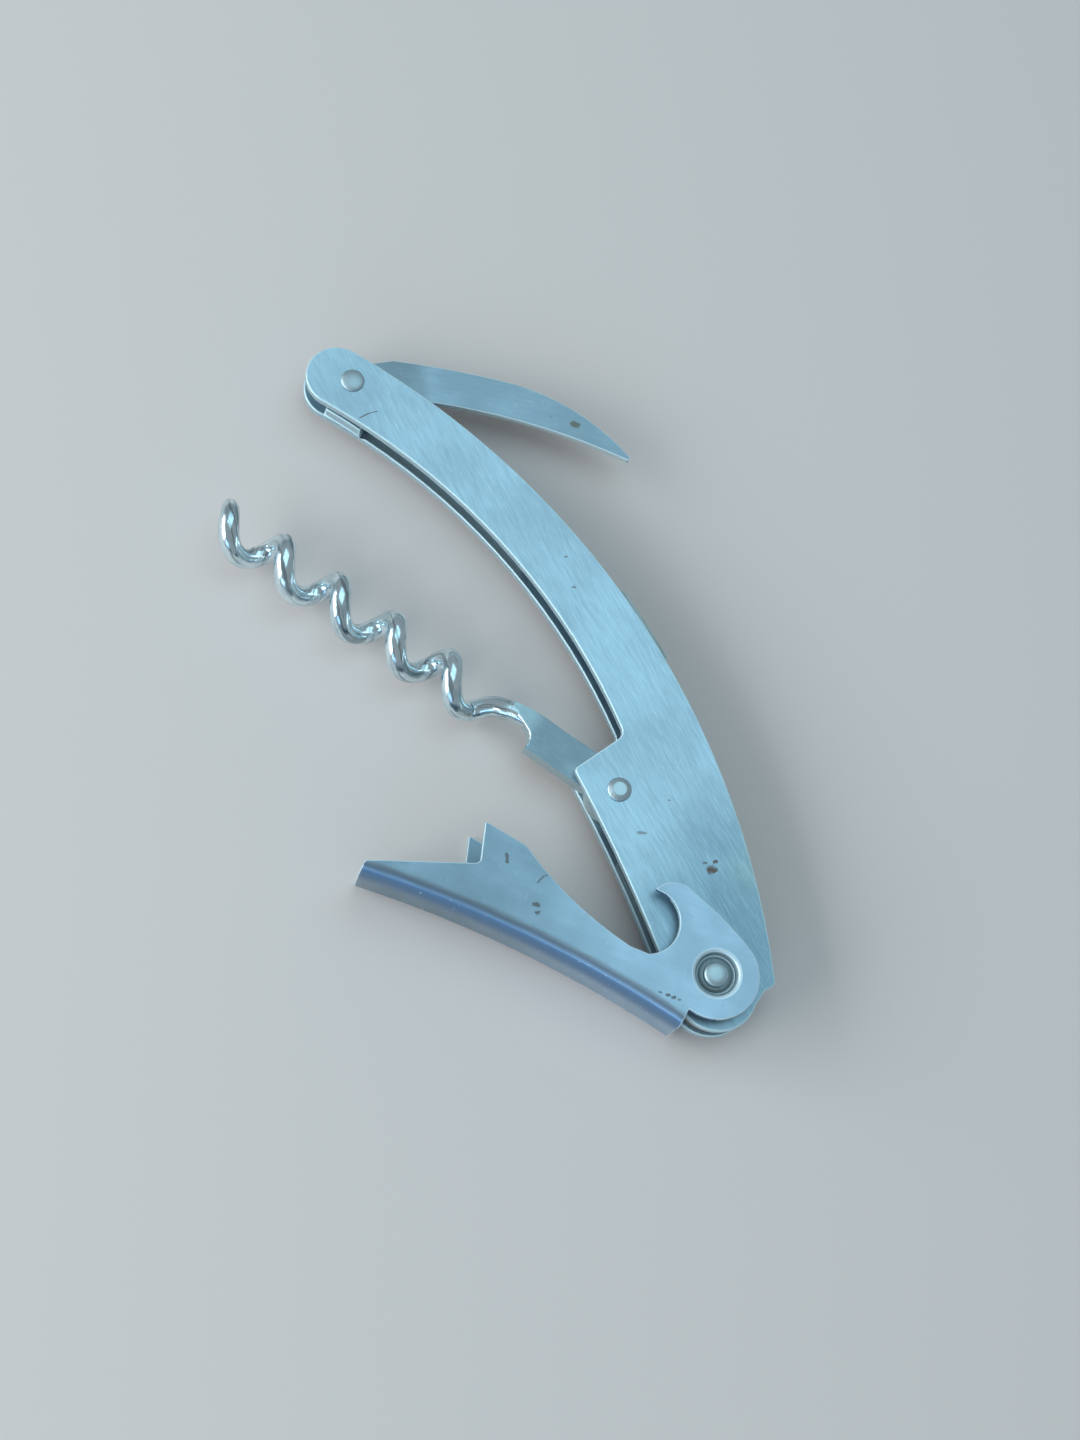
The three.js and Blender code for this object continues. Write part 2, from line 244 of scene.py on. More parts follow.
# Scratches: sparse thin lines, each set running one way.
scratches, asked, given = effect(
    "scratches",
    [("Vector", "NodeSocketVector", None), ("Angle", "NodeSocketFloat", 0.0), ("Share", "NodeSocketFloat", 0.7)],
    [("Lines", "NodeSocketFloat")],
)
turned_way = add(scratches, "ShaderNodeVectorRotate", {"Vector": asked["Vector"], "Angle": asked["Angle"]},
                 rotation_type="Z_AXIS")
stretched = vector(scratches, "MULTIPLY", turned_way.outputs[0], (420, 9000, 300))
line_noise = noise(scratches, stretched, 1.0, 1.0)
faint_to_full = 0.05
scratches.links.new(
    ramp(scratches, line_noise, asked["Share"], number(scratches, "ADD", asked["Share"], faint_to_full)),
    given["Lines"],
)

# Mark: one ragged mark of rust, dirt or a gouge, from one place to another, as wide as twice its radius.
mark, asked, given = effect(
    "mark",
    [("Vector", "NodeSocketVector", None), ("From", "NodeSocketVector", (0, 0, 0)),
     ("To", "NodeSocketVector", (mm, 0, 0)), ("Radius", "NodeSocketFloat", mm), ("Ragged", "NodeSocketFloat", 1.5)],
    [("Mask", "NodeSocketFloat")],
)
seen_flat = (1, 1, 0)
flat_place = vector(mark, "MULTIPLY", asked["Vector"], seen_flat)
run = vector(mark, "SUBTRACT", asked["To"], asked["From"])
offset = vector(mark, "SUBTRACT", flat_place, asked["From"])
ahead = vector(mark, "DOT_PRODUCT", offset, run, "Value")
run_square = vector(mark, "DOT_PRODUCT", run, run, "Value")
share = number(mark, "DIVIDE", ahead, run_square, clamp=True)
nearest = add(mark, "ShaderNodeVectorMath", {0: run, "Scale": share}, operation="SCALE").outputs[0]
reach = vector(mark, "DISTANCE", offset, nearest, "Value")
crumbs = noise(mark, asked["Vector"], 1900.0, 4.0)
distance = number(mark, "DIVIDE", reach, asked["Radius"])
raggedness = number(mark, "MULTIPLY", number(mark, "SUBTRACT", crumbs, 0.5), asked["Ragged"])
mark.links.new(ramp(mark, number(mark, "ADD", distance, raggedness), 1.0, 0.4), given["Mask"])

# Patch: a broad soft change of tone round a place, uneven at its rim.
patch, asked, given = effect(
    "patch",
    [("Vector", "NodeSocketVector", None), ("Centre", "NodeSocketVector", (0, 0, 0)),
     ("Near", "NodeSocketFloat", mm), ("Far", "NodeSocketFloat", 2 * mm), ("Uneven", "NodeSocketFloat", 6 * mm)],
    [("Mask", "NodeSocketFloat")],
)
flat_place = vector(patch, "MULTIPLY", asked["Vector"], seen_flat)
reach = vector(patch, "DISTANCE", flat_place, asked["Centre"], "Value")
waves = noise(patch, asked["Vector"], 150.0, 4.0)
wander = number(patch, "MULTIPLY", number(patch, "SUBTRACT", waves, 0.5), asked["Uneven"])
patch.links.new(ramp(patch, number(patch, "ADD", reach, wander), asked["Far"], asked["Near"]), given["Mask"])

# Pits: small round dents scattered over the surface, a share of the cells having one.
pits, asked, given = effect(
    "pits",
    [("Vector", "NodeSocketVector", None), ("Spacing", "NodeSocketFloat", 2 * mm),
     ("Share", "NodeSocketFloat", 0.3), ("Size", "NodeSocketFloat", 0.1)],
    [("Mask", "NodeSocketFloat")],
)
cells = add(pits, "ShaderNodeTexVoronoi", {
    "Vector": asked["Vector"], "Scale": number(pits, "DIVIDE", 1.0, asked["Spacing"]),
})
chance = add(pits, "ShaderNodeSeparateColor", {"Color": cells.outputs["Color"]})
picked = number(pits, "LESS_THAN", chance.outputs["Red"], asked["Share"])
size = number(pits, "MULTIPLY", asked["Size"], number(pits, "ADD", chance.outputs["Green"], 0.4))
round_dent = ramp(pits, cells.outputs["Distance"], size, number(pits, "MULTIPLY", size, 0.4))
pits.links.new(number(pits, "MULTIPLY", picked, round_dent), given["Mask"])


def use(tree, group, **inputs):
    """An effect placed in a material, with this material's values."""
    return add(tree, "ShaderNodeGroup", {key.replace("_", " "): value for key, value in inputs.items()},
               node_tree=group)


def steel(name, bright, dull, edge, rough, wall, turn=0, length=6 * mm, width=0.12 * mm, depth=0.006 * mm,
          streak=1.0, broad_share=0.3, marks=(), mark_colour=(0.07, 0.045, 0.03, 1), patches=(), pit_share=0.12,
          pit_spacing=2.2 * mm, scratch_share=0.69, fold=None):
    """Brushed steel whose streaks run `turn` degrees from +X, with marks given as [x, y, x, y, radius, strength]
    and patches as [x, y, near, far, uneven, tone, extra roughness], in millimetres. A bent sheet's fold is given
    as the colour of the blue reflection painted on its upper part, and the middle, [x, y] in millimetres, of an end
    that is not bent."""
    material = bpy.data.materials.new(name)
    material.use_nodes = True
    tree = material.node_tree
    shader = tree.nodes["Principled BSDF"]
    place = add(tree, "ShaderNodeTexCoord").outputs["Object"]
    along = add(tree, "ShaderNodeVectorRotate", {"Vector": place, "Angle": radians(-turn)}, rotation_type="Z_AXIS")
    grain = use(tree, brushing, Vector=along.outputs[0], Length=length, Width=width)
    finish = add(tree, "ShaderNodeAttribute", attribute_name="finish")
    side = add(tree, "ShaderNodeSeparateColor", {"Color": finish.outputs["Color"]})
    worn_and_highlit, walls = side.outputs["Red"], side.outputs["Green"]
    fine = ramp(tree, grain.outputs["Fine"], 0.36, 0.66)
    broad = ramp(tree, grain.outputs["Broad"], 0.34, 0.68)
    cloudy = ramp(tree, grain.outputs["Cloud"], 0.36, 0.66)
    tone = number(tree, "ADD", number(tree, "MULTIPLY", fine, 0.55 * streak),
                number(tree, "MULTIPLY", broad, broad_share * streak))
    tone = number(tree, "ADD", tone, number(tree, "MULTIPLY", cloudy, 0.6 - 0.35 * streak), clamp=True)
    colour = blend_colour(tree, tone, dull, bright)
    roughness = ramp(tree, tone, 0, 1, rough + 0.07, rough - 0.05)
    # Painted glints: light lines along the brushing, in the edge colour.
    glints = use(tree, scratches, Vector=along.outputs[0], Angle=0.0, Share=scratch_share - 0.05).outputs[0]
    colour = blend_colour(tree, number(tree, "MULTIPLY", glints, 0.40 * streak), colour, edge)
    for x, y, near, far, uneven, darker, rougher in patches:
        mask = use(tree, patch, Vector=place, Centre=(x * mm, y * mm, 0), Near=near * mm, Far=far * mm,
                   Uneven=uneven * mm).outputs["Mask"]
        colour = blend_colour(tree, mask, colour, tuple(darker) + (1,), "MULTIPLY")
        roughness = number(tree, "ADD", roughness, number(tree, "MULTIPLY", mask, rougher))
    lines = number(tree, "MAXIMUM",
                 use(tree, scratches, Vector=place, Angle=0.9, Share=scratch_share).outputs[0],
                 use(tree, scratches, Vector=place, Angle=-0.55, Share=scratch_share + 0.015).outputs[0])
    colour = blend_colour(tree, number(tree, "MULTIPLY", lines, 0.34), colour, edge)
    dents = use(tree, pits, Vector=place, Spacing=pit_spacing, Share=pit_share, Size=0.09).outputs["Mask"]
    colour = blend_colour(tree, number(tree, "MULTIPLY", dents, 0.35), colour, (0.16, 0.18, 0.18, 1))
    dirt = 0.0
    for x, y, to_x, to_y, radius, strength in marks:
        ragged = 1.5 if radius > 0.2 else 0.5
        mask = use(tree, mark, Vector=place, From=(x * mm, y * mm, 0), To=(to_x * mm, to_y * mm, 0),
                   Radius=radius * mm, Ragged=ragged).outputs["Mask"]
        dirt = number(tree, "MAXIMUM", dirt, number(tree, "MULTIPLY", mask, strength))
    if marks:
        colour = blend_colour(tree, dirt, colour, mark_colour)
    # The fold's upper part is painted blue as a reflection of the sky, with real worn specks rubbed into it.
    if fold:
        blue, flat_middle = fold
        pivot_x, pivot_y = (value * mm for value in flat_middle)
        flat_end = use(tree, patch, Vector=place, Centre=(pivot_x, pivot_y, 0), Near=4 * mm, Far=5 * mm,
                       Uneven=0.0).outputs["Mask"]
        turned_away = ramp(tree, side.outputs["Blue"], 0.02, 0.35)
        bent = number(tree, "SUBTRACT", turned_away, flat_end, clamp=True)
        high = add(tree, "ShaderNodeSeparateXYZ", {"Vector": place}).outputs["Z"]
        painted_blue_reflection = number(tree, "MULTIPLY", bent, ramp(tree, high, 5.6 * mm, 8.6 * mm))
        colour = blend_colour(tree, number(tree, "MULTIPLY", painted_blue_reflection, 0.85), colour, blue)
        rubbed = use(tree, pits, Vector=place, Spacing=0.6 * mm, Share=0.28, Size=0.18).outputs["Mask"]
        worn_and_highlit = number(tree, "MAXIMUM", worn_and_highlit, number(tree, "MULTIPLY", rubbed, bent))
    # Rounded edges take the edge colour: worn a little bright, and painted lighter still as highlight lines.
    colour = blend_colour(tree, number(tree, "MULTIPLY", worn_and_highlit, 0.9), colour, edge)
    shade = noise(tree, place, 2600.0, 2.0)
    wall_colour = blend_colour(tree, shade, tuple(0.8 * c for c in wall[:3]) + (1,), wall)
    colour = blend_colour(tree, walls, colour, wall_colour)
    tree.links.new(colour, shader.inputs["Base Color"])
    metal = number(tree, "SUBTRACT", ramp(tree, dirt, 0, 1, 1.0, 0.25), number(tree, "MULTIPLY", worn_and_highlit, 0.75))
    metal = number(tree, "SUBTRACT", metal, number(tree, "MULTIPLY", glints, 0.22 * streak))
    metal = number(tree, "SUBTRACT", metal, number(tree, "MULTIPLY", walls, 0.3), clamp=True)
    tree.links.new(metal, shader.inputs["Metallic"])
    roughness = number(tree, "SUBTRACT", roughness, number(tree, "MULTIPLY", worn_and_highlit, 0.12))
    roughness = number(tree, "ADD", roughness, number(tree, "MULTIPLY", walls, 0.10))
    roughness = number(tree, "ADD", roughness, number(tree, "MULTIPLY", dirt, 0.3), clamp=True)
    tree.links.new(roughness, shader.inputs["Roughness"])
    height = number(tree, "SUBTRACT", grain.outputs["Fine"], number(tree, "MULTIPLY", lines, 0.8))
    height = number(tree, "SUBTRACT", height, number(tree, "MULTIPLY", dents, 4.0))
    height = number(tree, "ADD", height, number(tree, "MULTIPLY", dirt, 1.5))
    relief = add(tree, "ShaderNodeBump", {"Height": height, "Strength": 0.6, "Distance": depth})
    tree.links.new(relief.outputs["Normal"], shader.inputs["Normal"])
    return material


plate_steel = steel(
    "plate_steel", bright=(0.53, 0.69, 0.78, 1), dull=(0.41, 0.55, 0.635, 1), edge=(0.72, 0.94, 1.0, 1), rough=0.38,
    wall=(0.56, 0.71, 0.77, 1), turn=brush_lean, length=2.6 * mm, width=0.10 * mm, streak=0.85, broad_share=0.08,
    scratch_share=0.73, mark_colour=(0.15, 0.095, 0.07, 1),
    marks=[(37.3, 8.4, 37.4, 8.7, 0.75, 0.9), (36.6, 9.6, 36.7, 9.9, 0.28, 0.8),
           (35.9, 8.2, 36.1, 8.5, 0.22, 0.6), (27.5, 2.5, 28.1, 3.4, 0.24, 0.40),
           (25.8, 9.0, 25.9, 9.1, 0.15, 0.5), (-8.0, 14.6, -7.8, 14.9, 0.2, 0.5),
           (-12.5, 16.2, -12.4, 16.5, 0.18, 0.5), (-45.6, 1.5, -45.6, 2.9, 0.13, 0.75),
           (-45.6, 2.9, -45.3, 4.25, 0.10, 0.75)],
    patches=[(48, 9, 11, 22, 6, (0.76, 0.82, 0.84), 0.06), (40, 13, 0, 5, 5, (1.10, 1.05, 0.96), 0.0),
             (47, 3, 0, 5, 5, (1.08, 1.03, 0.95), 0.0), (-57, 6, 0, 10, 6, (1.04, 1.06, 1.06), 0.0)],
)
for node in ("upper_side_plate", "lower_side_plate"):
    plate = from_solid(node)
    mark_edges(plate, soften(plate, plate_edge))
    finish_piece(plate, node + "_stamped", plate_steel, "handle", "plate_steel", node)

# ---- Springs ----
# Two stamped strips of spring steel lie in the slot: the back spring round the lever rivet, with its
# leaf along the handle's back, and the knife spring on edge along the hollow side. The steel is darker, and is
# painted darker and browner still with the slot's shade and a painted brown reflection.
spring_steel = steel(
    "spring_steel", bright=(0.31, 0.35, 0.35, 1), dull=(0.17, 0.18, 0.17, 1), edge=(0.66, 0.76, 0.80, 1), rough=0.26,
    wall=(0.20, 0.19, 0.17, 1), turn=brush_lean, width=0.2 * mm, pit_share=0.05,
)
for node, width in (("back_spring", 0.12 * mm), ("knife_spring", 0.08 * mm)):
    strip = from_solid(node)
    mark_edges(strip, soften(strip, width))
    finish_piece(strip, node + "_strip", spring_steel, "handle", "spring_steel", node)

# ---- Knife ----
# A curved foil knife stamped from 1 mm stainless strip, with a flat satin face, a little darker than the
# plates, and a plain edge along its hollow side. It turns on the rivet at the handle's end.
knife_turn = 45.6
knife_steel = steel(
    "knife_steel", bright=(0.365, 0.465, 0.53, 1), dull=(0.30, 0.39, 0.455, 1), edge=(0.82, 0.96, 1.0, 1), rough=0.32,
    # The near-white wall colour is a painted highlight along the knife's sheared edge.
    wall=(0.80, 0.92, 0.95, 1), turn=knife_turn + 4, length=5 * mm, width=0.16 * mm, depth=0.003 * mm, streak=0.3,
    marks=[(-30.4, 30.0, -30.0, 30.3, 0.65, 0.75), (-33.2, 27.6, -33.0, 27.7, 0.2, 0.3)],
    mark_colour=(0.17, 0.18, 0.11, 1), pit_share=0.06, scratch_share=0.73,
    # These patches paint shade on the knife's root beside the plate, and a darker painted reflection towards its tip.
    patches=[(-51.2, 3.6, 10, 12.5, 3, (0.84, 0.83, 0.81), 0.03), (-22, 35, 2, 16, 4, (0.93, 0.93, 0.92), 0)],
)
blade_edge = 0.13 * mm
knife = from_solid("knife_blade")
mark_edges(knife, soften(knife, blade_edge))
finish_piece(knife, "foil_knife", knife_steel, "knife", "blade_steel", "knife_blade")

# ---- Lever ----
# One sheet of 1 mm stainless folded into a channel: a cap lifter and a dimple in each cheek at the rivet
# end, two teeth for the bottle's rim further out. The fold is polished by the tool, the cheeks are satin; the fold's
# upper part is painted blue as a reflection of the sky, and the dimples' rims and sheared edges are painted light as
# highlights.
lever_turn = 213.1
sheet_edge = 0.14 * mm
dimple_edge = 0.36 * mm
lever_steel = steel(
    "lever_steel", bright=(0.49, 0.63, 0.745, 1), dull=(0.40, 0.53, 0.635, 1), edge=(0.74, 0.92, 1.0, 1), rough=0.36,
    wall=(0.62, 0.76, 0.80, 1), turn=lever_turn + 3, length=2.2 * mm, width=0.2 * mm, depth=0.004 * mm, streak=0.25,
    marks=[(21.9, -16.5, 21.0, -16.0, 0.3, 0.6), (28.9, -16.5, 29.1, -16.2, 0.45, 0.65),
           (30.0, -16.9, 30.1, -16.6, 0.3, 0.6), (26.5, -14.5, 26.2, -13.3, 0.14, 0.55),
           (26.2, -13.3, 26.3, -12.7, 0.11, 0.5), (33.6, -10.9, 34.4, -10.6, 0.12, 0.45),
           (48.8, -7.6, 49.0, -7.3, 0.26, 0.7), (49.5, -7.1, 49.6, -6.9, 0.3, 0.7),
           (47.9, -8.3, 48.1, -8.1, 0.18, 0.6), (50.2, -6.6, 50.3, -6.4, 0.2, 0.5),
           (18.6, -11.4, 18.9, -11.0, 0.14, 0.5)],
    mark_colour=(0.10, 0.10, 0.09, 1), patches=[(14, -21, 8, 34, 8, (0.68, 0.69, 0.68), 0.02)],
    fold=((0.15, 0.27, 0.45, 1), (50.0, 0.1)), pit_share=0.16, pit_spacing=1.5 * mm, scratch_share=0.73,
)
lever = from_solid("lever")
pivot_lever = Vector(next(joint["pos_m"] for joint in frame["joints"] if joint["child"] == "lever"))


def round_the_rivet(edge):
    """True on the dimples' rings, which are rounder than the sheared edges."""
    reach = ((edge.verts[0].co + edge.verts[1].co) / 2 - pivot_lever).xy.length
    return 1.6 * mm < reach < 4.2 * mm


edges = soften(lever, sheet_edge, chosen=lambda edge: not round_the_rivet(edge))
rings = soften(lever, dimple_edge, segments=5, chosen=round_the_rivet, sharper_than=20)
spine_way = Vector((-sin(radians(lever_turn)), cos(radians(lever_turn)), 0))
mark_edges(lever, edges + rings, sheet=1.2 * mm, skin=spine_way)
finish_piece(lever, "folded_lever", lever_steel, "lever", "lever_steel", "lever")

# ---- Worm ----
# 3 mm steel wire wound into an open right-hand helix, its point ground on a slant, its other end pressed
# into a flat tang that turns on the middle rivet. All of it is bright plated; the tang is duller.
pivot_worm = Vector(next(joint["pos_m"] for joint in frame["joints"] if joint["child"] == "worm"))
worm_turn = 203.5
to_worm = Matrix.Translation(pivot_worm) @ Matrix.Rotation(radians(worm_turn), 4, "Z")
wire_radius = 1.5 * mm
coil_radius = 2.6
coil_pitch = 9.65
coil_start = 24.0
coil_end = 69.0
coil_lean = 0.38
coil_phase = 2.19


def coil_point(x):
    """A point of the wire's middle line, x millimetres out from the pivot."""
    angle = 2 * pi * x / coil_pitch + coil_phase
    return (x + coil_lean * (1 + sin(angle)), coil_radius * cos(angle), coil_radius * sin(angle))


# The straight end inside the tang and its bend into the coil: x, y, z in millimetres and share of thickness.
shank = [(11.0, -1.60, 0.0, 0.70), (13.0, -1.75, 0.0, 0.78), (14.6, -1.85, -0.05, 0.82), (16.5, -1.82, -0.10, 0.84),
         (18.4, -1.75, -0.28, 0.94), (20.2, -1.38, -0.75, 1.0), (21.8, -0.85, -1.35, 1.0)]
coil_steps = 72
coil = [coil_start + (coil_end - coil_start) * step / coil_steps for step in range(coil_steps + 1)]
taper_start = 66.0
taper_share = 0.36
taper_power = 1.6
path = [
    (*coil_point(x), 1.0 - taper_share * max(0.0, (x - taper_start) / (coil_end - taper_start)) ** taper_power)
    for x in coil
]
line = bpy.data.curves.new("wire_line", "CURVE")
line.dimensions = "3D"
line.bevel_depth = wire_radius
line.bevel_resolution = 6
line.resolution_u = 4
line.use_fill_caps = True
spline = line.splines.new("BEZIER")
spline.bezier_points.add(len(shank) + len(path) - 1)
for point, (x, y, z, thickness) in zip(spline.bezier_points, shank + path):
    point.co = (x * mm, y * mm, z * mm)
    point.radius = thickness
    point.handle_left_type = point.handle_right_type = "AUTO"
drawn = bpy.data.objects.new("wire_line", line)
bpy.context.collection.objects.link(drawn)
bpy.context.view_layer.update()
wire = bmesh.new()
wire.from_mesh(bpy.data.meshes.new_from_object(drawn.evaluated_get(bpy.context.evaluated_depsgraph_get())))
bpy.data.objects.remove(drawn)
bmesh.ops.remove_doubles(wire, verts=wire.verts, dist=0.01 * mm)
bmesh.ops.recalc_face_normals(wire, faces=wire.faces)

# The drawn wire's lay, for its lengthwise marks, partly drawing marks and partly a painted dark reflection along
# each strand: where each point lies round the wire and along it, with the marks many times as long as they are wide.
round_scale, along_scale = 2.4, 0.2
lay = wire.verts.layers.float_vector.new("lay")
knots = [Vector(point[:3]) * mm for point in shank + path]
between, near = 5, 3
stations = [start.lerp(end, step / between) for start, end in zip(knots, knots[1:]) for step in range(between)]
stations.append(knots[-1])
middles = kdtree.KDTree(len(stations))
for index, station in enumerate(stations):
    middles.insert(station, index)
middles.balance()
for vert in wire.verts:
    index = middles.find(vert.co)[1]
    before, after = stations[max(index - near, 0)], stations[min(index + near, len(stations) - 1)]
    along = (after - before).normalized()
    off = vert.co - stations[index]
    off = (off - along * off.dot(along)).normalized()
    sideways = along.cross(Vector((0, 0, 1))).normalized()
    vert[lay] = (round_scale * off.dot(sideways), round_scale * off.dot(along.cross(sideways)),
                 along_scale * vert.co.x / mm)

# The point: the wire's end is ground on a slant, and the rim of the ground face is left a little blunt.
slant = 1.7
ground_back = 0.3
end, before_end = Vector(coil_point(coil_end)), Vector(coil_point(coil_end - 0.1))
grind_way = ((end - before_end).normalized() + Vector((slant, 0, 0))).normalized()
bmesh.ops.bisect_plane(
    wire, geom=wire.verts[:] + wire.edges[:] + wire.faces[:], dist=0.001 * mm,
    plane_co=(end - grind_way * ground_back) * mm, plane_no=grind_way, clear_outer=True,
)
bmesh.ops.holes_fill(wire, edges=[edge for edge in wire.edges if edge.is_boundary], sides=0)
tip_edges = [edge for edge in wire.edges if edge.is_manifold and edge.calc_face_angle() > radians(28)
             and (edge.verts[0].co - end * mm).length < 4 * mm]
bmesh.ops.bevel(wire, geom=tip_edges, offset=0.12 * mm, offset_type="OFFSET", affect="EDGES", segments=2,
                profile=0.5, clamp_overlap=True, material=-1)

# The tang: the solid's flat part, drawn out past its shoulder into a tail that sinks into the wire.
tang_cut = 10.8
shoulder_x = 14.45
throat_y = 0.3
throat_radius = 1.15 * mm
tang = from_solid("worm")
tang.transform(to_worm.inverted())
bmesh.ops.bisect_plane(
    tang, geom=tang.verts[:] + tang.edges[:] + tang.faces[:], dist=0.001 * mm,
    plane_co=(tang_cut * mm, 0, 0), plane_no=(1, 0, 0), clear_outer=True,
)
filled = bmesh.ops.holes_fill(tang, edges=[edge for edge in tang.edges if edge.is_boundary], sides=0)
end_face = filled["faces"][0]


def draw_out(bm, face, x, low_y, high_y, half_height):
    """Extrudes an end face of the tang to x, and gives the new end its height and width."""
    made = bmesh.ops.extrude_face_region(bm, geom=[face])["geom"]
    bmesh.ops.delete(bm, geom=[face], context="FACES_ONLY")
    new_face = next(part for part in made if isinstance(part, bmesh.types.BMFace))
    middle = new_face.calc_center_median()
    for vert in new_face.verts:
        vert.co.x = x * mm
        vert.co.z = half_height * mm if vert.co.z > 0 else -half_height * mm
        vert.co.y = high_y * mm if vert.co.y > middle.y else low_y * mm
    return new_face


shoulder = draw_out(tang, end_face, shoulder_x, -3.2, 2.35, 1.3)
split = bmesh.ops.bisect_plane(
    tang, geom=[shoulder, *shoulder.edges, *shoulder.verts], dist=0.001 * mm,
    plane_co=(0, throat_y * mm, 0), plane_no=(0, 1, 0),
)
tail = next(part for part in split["geom"] if isinstance(part, bmesh.types.BMFace)
            and part.calc_center_median().y < 0 and part.normal.x > 0.9)
tail = draw_out(tang, tail, 16.6, -3.05, -0.75, 1.28)
tail = draw_out(tang, tail, 19.2, -2.75, -1.80, 1.05)
tang.normal_update()
corner = Vector((shoulder_x * mm, throat_y * mm))
inner = [edge for edge in tang.edges if all((vert.co.xy - corner).length < 0.01 * mm for vert in edge.verts)]
bmesh.ops.bevel(tang, geom=inner, offset=throat_radius, offset_type="OFFSET", affect="EDGES", segments=7,
                profile=0.5, clamp_overlap=False, material=-1)


def on_the_throat(edge):
    """True on the rims of the hollow where the tang narrows to the wire, which are forged round."""
    middle = (edge.verts[0].co + edge.verts[1].co) / 2
    return middle.x > 14.4 * mm and -1.9 * mm < middle.y < 2.0 * mm and abs(middle.z) > 0.9 * mm


throat_edge = 0.42 * mm
throat = soften(tang, throat_edge, segments=5, chosen=on_the_throat, sharper_than=40, held_back=True)
mark_edges(tang, [])
for edge in tang.edges:
    edge.smooth = edge.calc_face_angle(0) < radians(32)
lay = tang.verts.layers.float_vector.new("lay")
for vert in tang.verts:
    vert[lay] = Vector((vert.co.y * 1.6, vert.co.z * 1.6, vert.co.x * 0.15)) / mm
plated = set(throat)
bright_slot = 1
for face in tang.faces:
    if face in plated or (face.calc_center_median().x > 16.7 * mm and abs(face.normal.z) < 0.5):
        face.material_index = bright_slot
for part in (wire, tang):
    part.transform(to_worm)
wire_mesh = bpy.data.objects.new("wire_part", bpy.data.meshes.new("wire_part"))
wire.to_mesh(wire_mesh.data)
wire.free()
bpy.context.collection.objects.link(wire_mesh)

bright_plate = bpy.data.materials.new("bright_plate")
bright_plate.use_nodes = True
tree = bright_plate.node_tree
shader = tree.nodes["Principled BSDF"]
shader.inputs["Metallic"].default_value = 1
place = add(tree, "ShaderNodeTexCoord").outputs["Object"]
cast = noise(tree, place, 420.0, 3.0)
drawn_way = add(tree, "ShaderNodeAttribute", attribute_name="lay").outputs["Vector"]
drawn_and_reflected_streaks = add(tree, "ShaderNodeTexNoise", {"Vector": drawn_way, "Scale": 1.0, "Detail": 3.0, "Roughness": 0.6})
# Lengthwise dark lines: partly the wire's drawing marks, partly a painted dark reflection along each strand.
dark_drawn_and_reflected_lines = ramp(tree, drawn_and_reflected_streaks.outputs["Fac"], 0.50, 0.66)
dull_film = ramp(tree, cast, 0.42, 0.70)
colour = blend_colour(tree, dull_film, (0.84, 0.96, 1.0, 1), (0.66, 0.79, 0.85, 1))
colour = blend_colour(tree, number(tree, "MULTIPLY", dark_drawn_and_reflected_lines, 0.75), colour, (0.20, 0.27, 0.30, 1))
tree.links.new(colour, shader.inputs["Base Color"])
tree.links.new(ramp(tree, dull_film, 0, 1, 0.17, 0.27), shader.inputs["Roughness"])
ripples = noise(tree, place, 900.0, 2.0)
height = number(tree, "ADD", ripples, number(tree, "MULTIPLY", drawn_and_reflected_streaks.outputs["Fac"], 0.9))
relief = add(tree, "ShaderNodeBump", {"Height": height, "Strength": 0.5, "Distance": 0.05 * mm})
tree.links.new(relief.outputs["Normal"], shader.inputs["Normal"])
tang_steel = steel(
    "tang_steel", bright=(0.38, 0.475, 0.52, 1), dull=(0.24, 0.31, 0.35, 1), edge=(0.74, 0.85, 0.87, 1), rough=0.34,
    wall=(0.52, 0.63, 0.66, 1), turn=worm_turn, length=2 * mm, width=0.3 * mm, depth=0.005 * mm, streak=0.2,
    pit_share=0.3, pit_spacing=1.2 * mm, scratch_share=0.74,
    patches=[(3.9, -1.9, 1.6, 4.2, 1.2, (1.35, 1.33, 1.28), -0.08)],
)
worm = finish_piece(tang, "wound_worm", tang_steel, "worm", "worm_chrome", "worm")
worm.data.materials.append(bright_plate)
wire_mesh.data.materials.append(bright_plate)

# The tang and the wire are one piece of steel, so they are joined into one closed mesh.
join = worm.modifiers.new("forge", "BOOLEAN")
join.operation = "UNION"
join.solver = "EXACT"
join.material_mode = "TRANSFER"
join.object = wire_mesh
worm.modifiers.move(1, 0)
bpy.context.view_layer.update()
joined = bpy.data.meshes.new_from_object(worm.evaluated_get(bpy.context.evaluated_depsgraph_get()))
worm.modifiers.clear()
worm.data = joined
bpy.data.objects.remove(wire_mesh)

# ---- Spacers and washers ----
# Thin turned rings: one each side of the knife in the slot, and one under each head of the lever rivet,
# painted dark for the shade that falls down in the slot and in the dimple.
ring_bore = 1.3


def turned(profile, centre, steps=64):
    """A closed round piece spun about a vertical axis from its [radius, height] profile in millimetres."""
    bm = bmesh.new()
    rim = [bm.verts.new((radius * mm, 0, height * mm)) for radius, height in profile]
    line = [bm.edges.new(pair) for pair in zip(rim, rim[1:])]
    bmesh.ops.spin(bm, geom=rim + line, cent=(0, 0, 0), axis=(0, 0, 1), angle=2 * pi, steps=steps,
                   use_merge=True, use_duplicate=False)
    bmesh.ops.remove_doubles(bm, verts=bm.verts, dist=0.001 * mm)
    bmesh.ops.recalc_face_normals(bm, faces=bm.faces)
    bmesh.ops.translate(bm, verts=bm.verts, vec=centre)
    return bm
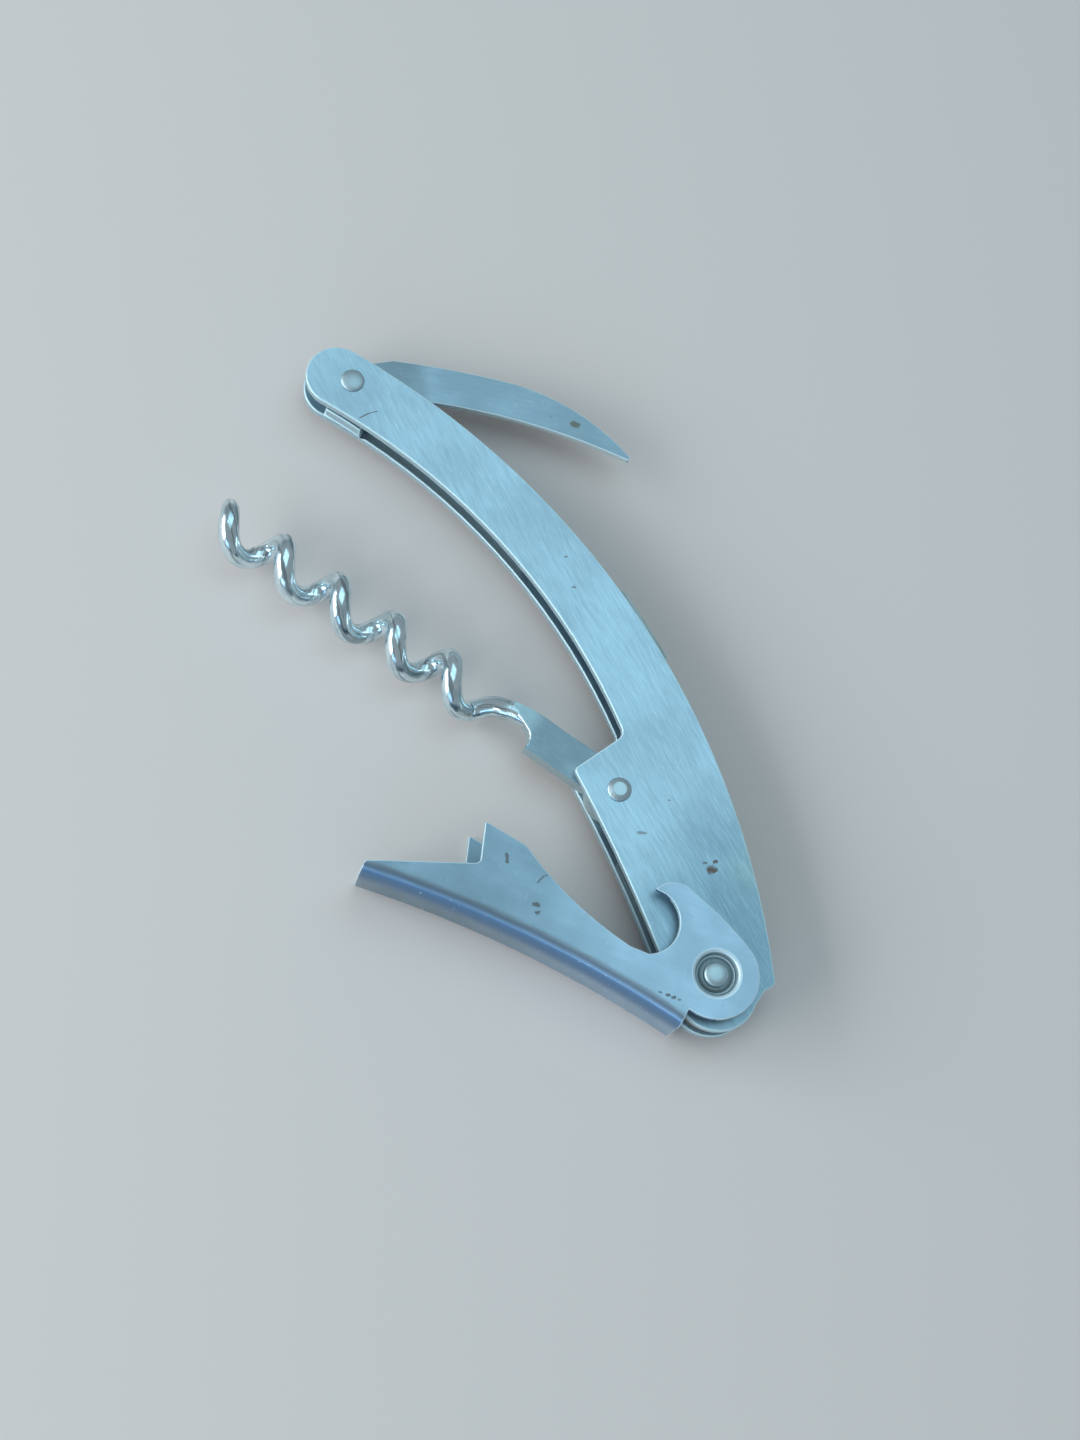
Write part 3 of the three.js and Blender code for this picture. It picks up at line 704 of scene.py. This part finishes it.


# Dark grey: painted shade of the slot and the dimple.
ring_steel = steel(
    "ring_steel", bright=(0.27, 0.33, 0.35, 1), dull=(0.16, 0.20, 0.21, 1), edge=(0.42, 0.50, 0.53, 1), rough=0.42,
    wall=(0.22, 0.27, 0.29, 1), streak=0.3, width=0.2 * mm, length=1 * mm, pit_share=0.3,
)
for node, chamfer in (("knife_spacer_upper", 0.08), ("knife_spacer_lower", 0.08),
                      ("lever_washer_upper", 0.06), ("lever_washer_lower", 0.06)):
    low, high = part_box(node)
    outer, half = (high.x - low.x) / 2 / mm, (high.z - low.z) / 2 / mm
    bevel = min(chamfer, half / 2)
    profile = [(ring_bore + bevel, -half), (outer - bevel, -half), (outer, -half + bevel), (outer, half - bevel),
               (outer - bevel, half), (ring_bore + bevel, half), (ring_bore, half - bevel),
               (ring_bore, -half + bevel), (ring_bore + bevel, -half)]
    ring = turned(profile, (low + high) / 2)
    mark_edges(ring, [])
    finish_piece(ring, node + "_turned", ring_steel, "handle", "spring_steel", node)

# ---- Rivets ----
# Three soft steel rivets, headed over by a punch: a plain dome at the knife, a flat-topped cone at the worm,
# and a taller dome down in the lever's dimples.
rivet_steel = steel(
    "rivet_steel", bright=(0.62, 0.75, 0.80, 1), dull=(0.50, 0.62, 0.67, 1), edge=(0.75, 0.86, 0.90, 1), rough=0.42,
    wall=(0.60, 0.72, 0.77, 1), streak=0.2, width=0.3 * mm, length=0.6 * mm, depth=0.012 * mm, pit_share=0.35,
    pit_spacing=0.8 * mm, scratch_share=0.66,
)
# Each head from the shank out under its rim and over to its top: radius and height in millimetres.
heads = {
    "knife_rivet": [(1.2, 0), (1.68, 0), (1.75, 0.03), (1.745, 0.09), (1.66, 0.18), (1.48, 0.28), (1.24, 0.37),
                    (0.95, 0.445), (0.64, 0.50), (0.32, 0.538), (0, 0.55)],
    "worm_rivet": [(1.2, 0), (1.66, 0), (1.75, 0.06), (1.73, 0.16), (1.62, 0.24), (1.40, 0.34), (1.16, 0.46),
                   (1.02, 0.53), (0.88, 0.55), (0.5, 0.545), (0, 0.54)],
    "lever_rivet": [(1.2, 0), (1.62, 0), (1.73, 0.06), (1.75, 0.18), (1.68, 0.33), (1.50, 0.47), (1.22, 0.58),
                    (0.9, 0.65), (0.5, 0.69), (0, 0.70)],
}
for node, head in heads.items():
    low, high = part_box(node)
    under = (high.z - low.z) / 2 / mm - head[-1][1]
    upper = [(radius, under + height) for radius, height in head]
    rivet = turned([(radius, -height) for radius, height in reversed(upper)] + upper, (low + high) / 2, steps=72)
    mark_edges(rivet, [])
    finish_piece(rivet, node + "_headed", rivet_steel, "handle", "rivet_steel", node)
